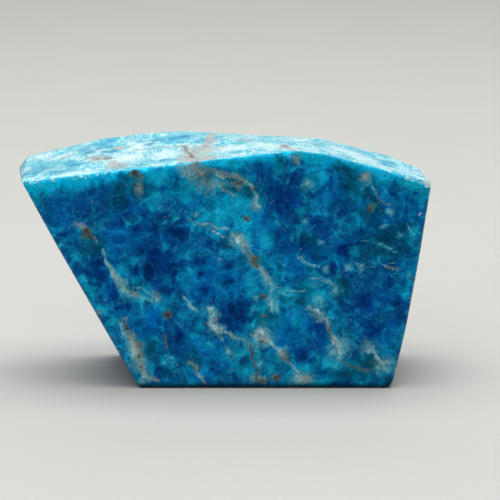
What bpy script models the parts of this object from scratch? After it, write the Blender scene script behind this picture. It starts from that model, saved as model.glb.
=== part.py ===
# Blue apatite: a freeform block, sawn on all sides and polished, that stands on its flat base.
# Lengths are in millimetres until they go into a mesh. X runs along the block, Y to the back, Z up.

import math
import random

import bmesh
import bpy
from mathutils import Matrix, Vector, noise

MM = 0.001

# Block
THICKNESS = 30.0
FRONT = -THICKNESS / 2
BACK = THICKNESS / 2
BACK_TURN = 0.006
ROUGH_LENGTH = 110.0
ROUGH_HEIGHT = 70.0

# Base, from its left corner to its right corner on the front
BASE_LEFT = -18.1
BASE_RIGHT = 37.7

# Left side: it leans out over the base, and its upper half is a little steeper
LEFT_LEAN = 0.549
LEFT_UPPER_LEAN = 0.515
LEFT_BREAK_HEIGHT = 31.45
LEFT_SPLAY = -0.15

# Right side: three grinds that steepen with height
RIGHT_LEANS = (0.225, 0.172, 0.147)
RIGHT_BREAK_HEIGHTS = (0.0, 13.25, 28.65)
RIGHT_SPLAY = -0.004

# Top: two slopes that meet at the apex
APEX_X = 16.6
APEX_HEIGHT = 53.5
LEFT_SLOPE = 0.1177
LEFT_SLOPE_BACK = 0.088
CROWN_SLOPE = -0.055
CROWN_SLOPE_BACK = -0.080
CROWN_STEPS = 4
CROWN_DROP = 0.035
TIP_FACET_LOW = (-46.4, BACK, 43.85)
TIP_FACET_HIGH = (-44.5, BACK, 46.45)
TIP_SLOPE = 0.235
TIP_SLOPE_BACK = 0.022
APEX_SLOPE = -0.14
APEX_SLOPE_BACK = -0.066
RIGHT_SLOPE_X = 19.9
RIGHT_SLOPE_HEIGHT = 53.4
RIGHT_SLOPE = -0.265
RIGHT_SLOPE_BACK = -0.062
SHOULDER_X = 38.9
SHOULDER_HEIGHT = 49.6
SHOULDER_SLOPE = -0.43
SHOULDER_SLOPE_BACK = -0.11

# Edges: the widest round, and each kind of edge as a share of it
EDGE_ROUND = 1.7
SIDE_EDGE = 0.55
BASE_EDGE = 0.45
BASE_LEFT_EDGE = 0.6
BASE_RIGHT_EDGE = 1.0
TOP_BACK_EDGE = 0.55
TOP_SIDE_EDGE = 0.45
TOP_FRONT_EDGE = 0.16
SHARP_ANGLE = math.radians(16)

# Chips: the range of their radius, of how deep they bite, and of the gap from one to the next
CHIP_SEED = 11
SMALL_CHIP = (0.35, 0.85)
SMALL_CHIP_BITE = (0.10, 0.26)
SMALL_CHIP_GAP = (1.3, 3.6)
CRAG = (0.8, 1.7)
CRAG_BITE = (0.20, 0.60)
CRAG_GAP = (1.2, 2.6)

RIM_CHIP = ((0.7, 1.2), (0.25, 0.45), (4.0, 11.0))

# Larger bites out of the front's top edge: place along the block, radius and depth
LARGE_CHIPS = (
    (-41.0, 1.6, 0.75),
    (-38.7, 1.1, 0.40),
    (-30.2, 1.3, 0.35),
    (-19.5, 1.5, 0.55),
    (-16.9, 1.4, 0.85),
    (-8.7, 1.2, 0.40),
    (5.4, 1.0, 0.35),
    (8.0, 1.2, 0.40),
    (14.6, 1.5, 0.60),
    (37.1, 1.3, 0.40),
    (39.9, 1.5, 0.50),
    (42.6, 1.3, 0.55),
)


def fresh_scene():
    for old in list(bpy.data.objects):
        bpy.data.objects.remove(old, do_unlink=True)


def collection_named(name):
    made = bpy.data.collections.new(name)
    bpy.context.scene.collection.children.link(made)
    return made


def stone_material():
    material = bpy.data.materials.new("Polished blue apatite")
    material.use_nodes = True
    shader = material.node_tree.nodes["Principled BSDF"]
    shader.inputs["Base Color"].default_value = (0.012, 0.165, 0.352, 1.0)
    shader.inputs["Roughness"].default_value = 0.28
    shader.inputs["Metallic"].default_value = 0.0
    shader.inputs["IOR"].default_value = 1.63
    material.diffuse_color = (0.012, 0.165, 0.352, 1.0)
    return material


def mesh_object(name, bm, collection):
    mesh = bpy.data.meshes.new(name)
    bm.to_mesh(mesh)
    bm.free()
    made = bpy.data.objects.new(name, mesh)
    collection.objects.link(made)
    return made


def saw(bm, point, normal):
    """Takes off everything on the normal's side of the plane, and closes the cut."""
    geometry = bm.verts[:] + bm.edges[:] + bm.faces[:]
    cut = bmesh.ops.bisect_plane(
        bm,
        geom=geometry,
        dist=1e-6,
        plane_co=Vector(point) * MM,
        plane_no=Vector(normal).normalized(),
        clear_outer=True,
    )
    rim = [item for item in cut["geom_cut"] if isinstance(item, bmesh.types.BMEdge)]
    if rim:
        bmesh.ops.contextual_create(bm, geom=rim)


def saw_top(bm, x, height, slope, slope_back):
    saw(bm, (x, FRONT, height), (-slope, -slope_back, 1.0))


def saw_left(bm, x, height, lean, splay):
    saw(bm, (x, FRONT, height), (-1.0, splay, -lean))


def saw_right(bm, x, height, lean, splay):
    saw(bm, (x, FRONT, height), (1.0, -splay, -lean))


def plane_through(first, second, third):
    """A point and the upward normal of the plane through three points."""
    a, b, c = Vector(first), Vector(second), Vector(third)
    normal = (b - a).cross(c - a)
    if normal.z < 0:
        normal.negate()
    return a, normal


def left_edge_x(height):
    lower = BASE_LEFT - LEFT_LEAN * height
    upper = BASE_LEFT - LEFT_LEAN * LEFT_BREAK_HEIGHT
    upper -= LEFT_UPPER_LEAN * (height - LEFT_BREAK_HEIGHT)
    return lower if height < LEFT_BREAK_HEIGHT else upper


def right_edge_x(height):
    x = BASE_RIGHT
    tops = RIGHT_BREAK_HEIGHTS[1:] + (ROUGH_HEIGHT,)
    for lean, low, high in zip(RIGHT_LEANS, RIGHT_BREAK_HEIGHTS, tops):
        x += lean * (min(height, high) - low) if height > low else 0.0
    return x


def tip_corner():
    """Where the upper left side meets the left slope on the front."""
    break_x = BASE_LEFT - LEFT_LEAN * LEFT_BREAK_HEIGHT
    level = APEX_HEIGHT + LEFT_SLOPE * (break_x + LEFT_UPPER_LEAN * LEFT_BREAK_HEIGHT - APEX_X)
    height = level / (1 + LEFT_SLOPE * LEFT_UPPER_LEAN)
    return break_x - LEFT_UPPER_LEAN * (height - LEFT_BREAK_HEIGHT), height


def front_top_height(x):
    """Height of the front's top edge."""
    slopes = (
        APEX_HEIGHT + LEFT_SLOPE * (x - APEX_X),
        APEX_HEIGHT + APEX_SLOPE * (x - APEX_X),
        RIGHT_SLOPE_HEIGHT + RIGHT_SLOPE * (x - RIGHT_SLOPE_X),
        SHOULDER_HEIGHT + SHOULDER_SLOPE * (x - SHOULDER_X),
    )
    return min(slopes)


def saw_block():
    bm = bmesh.new()
    rough = Matrix.Translation((0, 0, ROUGH_HEIGHT / 2 * MM))
    rough @= Matrix.Diagonal((ROUGH_LENGTH * MM, THICKNESS * 2 * MM, ROUGH_HEIGHT * MM, 1))
    bmesh.ops.create_cube(bm, size=1.0, matrix=rough)

    # Front and back
    saw(bm, (0, FRONT, 0), (0, -1, 0))
    saw(bm, (0, BACK, 0), (-BACK_TURN, 1, 0.006))

    # Sides
    saw_left(bm, left_edge_x(0.0), 0.0, LEFT_LEAN, LEFT_SPLAY)
    saw_left(bm, left_edge_x(LEFT_BREAK_HEIGHT), LEFT_BREAK_HEIGHT, LEFT_UPPER_LEAN, LEFT_SPLAY)
    for lean, height in zip(RIGHT_LEANS, RIGHT_BREAK_HEIGHTS):
        saw_right(bm, right_edge_x(height), height, lean, RIGHT_SPLAY)

    # Top, left of the apex: it turns over from the left slope to the crown in small steps
    for step in range(CROWN_STEPS + 1):
        t = step / CROWN_STEPS
        slope = LEFT_SLOPE + t * (CROWN_SLOPE - LEFT_SLOPE)
        back = LEFT_SLOPE_BACK + t * (CROWN_SLOPE_BACK - LEFT_SLOPE_BACK)
        saw_top(bm, APEX_X, APEX_HEIGHT, slope, back - CROWN_DROP * t * (1 - t))
    tip_x, tip_height = tip_corner()
    saw_top(bm, tip_x, tip_height, TIP_SLOPE, TIP_SLOPE_BACK)

    # Top, right of the apex
    saw_top(bm, APEX_X, APEX_HEIGHT, APEX_SLOPE, APEX_SLOPE_BACK)
    saw_top(bm, RIGHT_SLOPE_X, RIGHT_SLOPE_HEIGHT, RIGHT_SLOPE, RIGHT_SLOPE_BACK)
    saw_top(bm, SHOULDER_X, SHOULDER_HEIGHT, SHOULDER_SLOPE, SHOULDER_SLOPE_BACK)

    # A narrow facet that widens to the back along the left tip
    saw(bm, *plane_through((tip_x, FRONT, tip_height), TIP_FACET_LOW, TIP_FACET_HIGH))
    bmesh.ops.recalc_face_normals(bm, faces=bm.faces[:])
    return bm


def edge_share(edge):
    """The share of the widest round that an edge gets. The two narrow facets stay crisp."""
    first, second = (face.normal for face in edge.link_faces)
    narrow = any(abs(normal.x) > 0.3 and normal.z > 0.3 for normal in (first, second))
    if narrow or first.angle(second) < SHARP_ANGLE:
        return 0.0
    ends = [vert.co / MM for vert in edge.verts]
    middle = (ends[0] + ends[1]) / 2
    on_front = all(abs(end.y - FRONT) < 0.01 for end in ends)
    if all(end.z < 0.01 for end in ends):
        if abs(ends[0].y - ends[1].y) < 5:
            return BASE_EDGE
        return BASE_RIGHT_EDGE if middle.x > 0 else BASE_LEFT_EDGE
    if middle.z > 42.0 or max(end.z for end in ends) - min(end.z for end in ends) < 9.0:
        if on_front:
            return TOP_FRONT_EDGE
        return TOP_BACK_EDGE if all(end.y > BACK - 2 for end in ends) else TOP_SIDE_EDGE
    return SIDE_EDGE


def round_edges(bm):
    weight = bm.edges.layers.float.new("bevel_weight_edge")
    for edge in bm.edges:
        edge[weight] = edge_share(edge)


def chip(bm, centre, radius, squash, rng, detail=2):
    """Adds one knobbly ball to a mesh of cutters or lumps."""
    turn = Matrix.Rotation(rng.uniform(0, math.tau), 4, (rng.random() - 0.5, rng.random() - 0.5, 1))
    shape = Matrix.Translation(Vector(centre) * MM) @ turn
    shape @= Matrix.Diagonal((radius * MM, radius * MM * squash, radius * MM, 1))
    ball = bmesh.ops.create_icosphere(bm, subdivisions=detail, radius=1.0)["verts"]
    offset = Vector((rng.uniform(0, 90), rng.uniform(0, 90), rng.uniform(0, 90)))
    for vert in ball:
        vert.co *= 1.0 + 0.22 * noise.noise(vert.co * 1.7 + offset)
    bmesh.ops.transform(bm, matrix=shape, verts=ball)


def nibble(bm, start, end, outward, radii, bites, gaps, rng, detail=1):
    """Bites at uneven steps along a straight edge."""
    start, end = Vector(start), Vector(end)
    length = (end - start).length
    outward = Vector(outward).normalized()
    along = rng.uniform(*gaps)
    while along < length:
        radius = rng.uniform(*radii)
        centre = start.lerp(end, along / length) + outward * (radius - rng.uniform(*bites))
        chip(bm, centre, radius, 0.8, rng, detail)
        along += rng.uniform(*gaps)


def front_edge_chips(rng):
    """Bites along the sharp edge between the front and the top."""
    bm = bmesh.new()
    outward = Vector((0, -1, 1)).normalized()
    for x, radius, bite in LARGE_CHIPS:
        edge = Vector((x, FRONT, front_top_height(x)))
        chip(bm, edge + outward * (radius - bite), radius, 0.8, rng)
    turns = (tip_corner()[0], APEX_X, SHOULDER_X, right_edge_x(SHOULDER_HEIGHT) - 1.0)
    for left, right in zip(turns, turns[1:]):
        start = (left, FRONT, front_top_height(left))
        end = (right, FRONT, front_top_height(right))
        nibble(bm, start, end, outward, SMALL_CHIP, SMALL_CHIP_BITE, SMALL_CHIP_GAP, rng)
    return bm


def corner_crags(rng):
    """Bites that leave the right end of the top broken and crusty."""
    bm = bmesh.new()
    x = right_edge_x(front_top_height(right_edge_x(SHOULDER_HEIGHT)))
    drop = SHOULDER_SLOPE_BACK * THICKNESS
    front = Vector((x, FRONT, front_top_height(x)))
    back = front + Vector((RIGHT_SPLAY * THICKNESS, THICKNESS, drop))
    inner = back + Vector((-9.0, 0, 9.0 * -SHOULDER_SLOPE))
    nibble(bm, front, back, (1, 0, 1), CRAG, CRAG_BITE, CRAG_GAP, rng, 2)
    nibble(bm, back, inner, (0, 1, 1), CRAG, CRAG_BITE, CRAG_GAP, rng, 2)
    return bm


def rim_chips(rng):
    """A few shallow bites on the other edges, from handling."""
    bm = bmesh.new()
    tip_x, tip_height = tip_corner()
    splay = LEFT_SPLAY * THICKNESS
    left_foot = Vector((BASE_LEFT, FRONT, 0))
    left_tip = Vector((tip_x, FRONT, tip_height))
    right_foot = Vector((BASE_RIGHT, FRONT, 0))
    right_x = right_edge_x(SHOULDER_HEIGHT)
    right_top = Vector((right_x, FRONT, front_top_height(right_x)))
    back = Vector((0, THICKNESS, 0))
    nibble(bm, left_tip, TIP_FACET_LOW, (-1, 0, 0), *RIM_CHIP, rng)
    nibble(bm, left_foot, left_foot + back + Vector((splay, 0, 0)), (-1, 0, -0.7), *RIM_CHIP, rng)
    nibble(bm, right_foot + back, right_top + back, (1, 1, 0), *RIM_CHIP, rng)
    return bm


def face_pits(rng):
    """Small open pits on the top, the front and the left side."""
    bm = bmesh.new()
    for x, y, z, radius in (
        (13.8, -12.3, 53.35, 0.55),
        (-8.9, -8.9, 51.65, 0.50),
        (-15.7, -2.1, 51.55, 0.60),
        (7.1, 4.8, 53.45, 0.45),
        (10.1, -15.35, 18.65, 0.60),
        (-0.1, -15.30, 37.35, 0.50),
        (3.3, -15.35, 30.75, 0.60),
        (-17.9, -15.30, 16.95, 0.55),
    ):
        chip(bm, (x, y, z), radius, 0.8, rng, 1)
    return bm


def corner_lumps(rng):
    """Low grains of crust that stand on the top near the broken corner."""
    bm = bmesh.new()
    for _ in range(16):
        x = rng.uniform(34.5, 43.0)
        y = rng.uniform(-13.0, 12.5)
        radius = rng.uniform(0.6, 1.2)
        slopes = (
            RIGHT_SLOPE_HEIGHT + RIGHT_SLOPE * (x - RIGHT_SLOPE_X) + RIGHT_SLOPE_BACK * (y - FRONT),
            SHOULDER_HEIGHT + SHOULDER_SLOPE * (x - SHOULDER_X) + SHOULDER_SLOPE_BACK * (y - FRONT),
        )
        chip(bm, (x, y, min(slopes) - radius * 0.62), radius, 0.9, rng, 1)
    return bm


def boolean(body, name, bm, operation, collection):
    tool = mesh_object(name, bm, collection)
    tool.hide_render = True
    tool.display_type = "WIRE"
    modifier = body.modifiers.new(name, "BOOLEAN")
    modifier.operation = operation
    modifier.solver = "EXACT"
    modifier.use_self = True
    modifier.object = tool


def build():
    fresh_scene()
    parts = collection_named("Blue apatite freeform")
    tools = collection_named("Cutters")
    rng = random.Random(CHIP_SEED)

    bm = saw_block()
    round_edges(bm)
    stone = mesh_object("blue_apatite", bm, parts)
    stone.data.materials.append(stone_material())

    bevel = stone.modifiers.new("Rounded edges", "BEVEL")
    bevel.limit_method = "WEIGHT"
    bevel.width = EDGE_ROUND * MM
    bevel.segments = 3
    bevel.harden_normals = False

    boolean(stone, "Crust grains", corner_lumps(rng), "UNION", tools)
    boolean(stone, "Corner crags", corner_crags(rng), "DIFFERENCE", tools)
    boolean(stone, "Edge chips", front_edge_chips(rng), "DIFFERENCE", tools)
    boolean(stone, "Rim chips", rim_chips(rng), "DIFFERENCE", tools)
    boolean(stone, "Face pits", face_pits(rng), "DIFFERENCE", tools)

    stone.data.shade_smooth()
    stone.data.set_sharp_from_angle(angle=math.radians(30))


build()
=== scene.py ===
import math

import bmesh
import bpy
import numpy as np
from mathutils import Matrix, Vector, noise
from mathutils.bvhtree import BVHTree


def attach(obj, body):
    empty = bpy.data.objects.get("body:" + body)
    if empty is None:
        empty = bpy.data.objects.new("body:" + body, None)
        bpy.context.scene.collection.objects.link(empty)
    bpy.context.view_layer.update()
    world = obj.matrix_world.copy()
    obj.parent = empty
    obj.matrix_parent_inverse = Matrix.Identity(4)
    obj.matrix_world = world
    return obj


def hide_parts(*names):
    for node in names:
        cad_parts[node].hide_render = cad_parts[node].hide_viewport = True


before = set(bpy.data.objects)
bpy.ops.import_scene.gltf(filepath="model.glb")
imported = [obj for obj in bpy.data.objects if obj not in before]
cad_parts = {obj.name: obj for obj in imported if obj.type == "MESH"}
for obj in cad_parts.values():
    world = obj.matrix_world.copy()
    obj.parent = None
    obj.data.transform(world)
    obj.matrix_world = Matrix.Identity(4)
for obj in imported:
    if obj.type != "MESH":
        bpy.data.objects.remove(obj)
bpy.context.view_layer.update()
mm = 0.001  # the frame is in metres, the sizes below are in millimetres
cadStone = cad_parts["blue_apatite"]
print("frame loaded")


def hexToLinear(hexText, alpha=1.0):
    channels = [int(hexText[i:i + 2], 16) / 255 for i in (1, 3, 5)]
    return tuple(c / 12.92 if c <= 0.04045 else ((c + 0.055) / 1.055) ** 2.4 for c in channels) + (alpha,)


def addNode(tree, kind, inputs=None, **settings):
    node = tree.nodes.new(kind)
    for name, value in settings.items():
        setattr(node, name, value)
    for key, value in (inputs or {}).items():
        if isinstance(value, bpy.types.Node):
            value = next(socket for socket in value.outputs if socket.enabled)
        if isinstance(value, bpy.types.NodeSocket):
            tree.links.new(value, node.inputs[key])
        else:
            node.inputs[key].default_value = value
    return node


def addObject(name, data):
    made = bpy.data.objects.new(name, data)
    bpy.context.scene.collection.objects.link(made)
    return made


# The photograph's view: a long lens, a little above the stone and square to its front
view = dict(elevation=12.5, distance=600.0, aimX=6.4, aimHeight=31.32, lens=197.86, sensor=36.0, pixels=500)
tilt = math.radians(view["elevation"])
frontY = -15.0


def placeCamera():
    data = bpy.data.cameras.new("camera")
    data.lens = view["lens"]
    data.sensor_width = view["sensor"]
    data.clip_start = 0.01
    made = addObject("camera", data)
    aim = Vector((view["aimX"], frontY, view["aimHeight"]))
    back = Vector((0, -math.cos(tilt), math.sin(tilt)))
    made.location = (aim + back * view["distance"]) * mm
    made.rotation_euler = (math.pi / 2 - tilt, 0, 0)
    bpy.context.scene.camera = made
    return made


camera = placeCamera()
bpy.context.scene.view_settings.view_transform = "Standard"
print("camera placed")

# The stone's surface: a fine even mesh on the CAD solid, so that small chips and marks have points to sit on
surface = dict(
    voxel=0.42,         # mesh width
    chipDepth=0.30,     # deepest small chip along a worn edge
    chipSize=1.0,       # width of such a chip
    crustDepth=0.40,    # relief of the crumbly corner
    crustSize=1.3,
    crustStart=37.0,    # x where the crumbly corner begins
    crustFull=41.5,     # x where it covers the whole top
)


def evaluatedMesh(obj):
    graph = bpy.context.evaluated_depsgraph_get()
    graph.update()
    return bpy.data.meshes.new_from_object(obj.evaluated_get(graph), depsgraph=graph)


def mergedCadMesh():
    bm = bmesh.new()
    bm.from_mesh(cadStone.data)
    bmesh.ops.remove_doubles(bm, verts=bm.verts[:], dist=0.002 * mm)
    mesh = bpy.data.meshes.new("blueApatite")
    bm.to_mesh(mesh)
    bm.free()
    return mesh


def denseStone():
    stone = addObject("blueApatite", mergedCadMesh())
    remesh = stone.modifiers.new("even mesh", "REMESH")
    remesh.mode = "VOXEL"
    remesh.voxel_size = surface["voxel"] * mm
    remesh.use_smooth_shade = True
    wrap = stone.modifiers.new("back on the solid", "SHRINKWRAP")
    wrap.wrap_method = "NEAREST_SURFACEPOINT"
    wrap.target = cadStone
    dense = evaluatedMesh(stone)
    stone.modifiers.clear()
    stone.data = dense
    dense.name = "blueApatite"
    return stone


stone = denseStone()
solid = BVHTree.FromPolygons([v.co / mm for v in cadStone.data.vertices],
                             [p.vertices for p in cadStone.data.polygons])
print("stone surface:", len(stone.data.vertices), "points")


def pointsOf(mesh, what="co"):
    flat = np.empty(len(mesh.vertices) * 3, dtype=np.float32)
    source = mesh.vertex_normals if what == "vector" else mesh.vertices
    source.foreach_get(what, flat)
    return flat.reshape(-1, 3).astype(float)


def smoothStep(low, high, value):
    share = np.clip((value - low) / (high - low), 0, 1)
    return share * share * (3 - 2 * share)


places = pointsOf(stone.data) / mm
normals = pointsOf(stone.data, "vector")
inset = places - 0.8 * normals                         # just inside the stone, so that a side finds its top too
above = [solid.ray_cast(Vector((x, y, 200.0)), Vector((0, 0, -1)))[0] for x, y, z in inset]
topHeight = np.array([hit.z if hit else place[2] for hit, place in zip(above, places)])
underTop = np.maximum(topHeight - places[:, 2], 0)     # depth below the top surface
topSide = smoothStep(0.75, 0.93, normals[:, 2])
leftTip = smoothStep(-40.5, -42.5, places[:, 0]) * smoothStep(0.1, 0.4, normals[:, 2])
topSide = np.maximum(topSide, leftTip)


def edgeWear():
    # how sharply the surface turns at each point, spread a little to both sides
    ends = np.array([edge.vertices[:] for edge in stone.data.edges])
    turn = 1 - np.sum(normals[ends[:, 0]] * normals[ends[:, 1]], axis=1)
    wear = np.zeros(len(places))
    for _ in range(3):
        for side in (0, 1):
            np.maximum.at(wear, ends[:, side], turn)
        turn = 0.75 * np.maximum(wear[ends[:, 0]], wear[ends[:, 1]])
    return smoothStep(0.02, 0.2, wear)


worn = edgeWear()
crust = smoothStep(surface["crustStart"], surface["crustFull"], places[:, 0])
overhang = 0.8 * smoothStep(42.0, 45.5, places[:, 0])
crust *= smoothStep(1.2 + overhang, 0.4 + overhang, underTop)

# where the top's front edge has crumbled into sugary grains: x in millimetres, and how far gone the edge is there
crumbledEdge = ((-47, 1.0), (-41, 1.0), (-38, 0.6), (-32, 0.9), (-29, 0.4), (-24, 0.25), (-22, 0.0), (-18, 0.0),
                (-14, 0.35), (-7, 0.2), (-5, 0.0), (34, 0.0), (37, 0.3), (47, 0.5))
# how far the painted light band from the top reaches down the front, as a share of its reach at the left end
lightReach = ((-24, 0.8), (-8, 0.62), (30, 0.62), (41, 0.45))
print("wear and crust found")


def noiseAt(size, seed):
    return np.array([noise.noise(Vector(place) / size + Vector((seed, 0, 0))) for place in places])


def breakEdges():
    # small chips bite into the worn edges, and the crumbly corner is rough
    chips = worn * (0.3 + 0.7 * crumbly) * smoothStep(0.0, 0.35, noiseAt(surface["chipSize"], 11)) * surface["chipDepth"]
    rough = (noiseAt(surface["crustSize"], 31) + 0.6 * noiseAt(surface["crustSize"] / 2.2, 41) - 0.3)
    moved = places + normals * (crust * rough * surface["crustDepth"] - chips)[:, None]
    moved[:, 2] = np.maximum(moved[:, 2], 0)
    stone.data.vertices.foreach_set("co", (moved * mm).astype(np.float32).ravel())
    stone.data.update()


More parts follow.
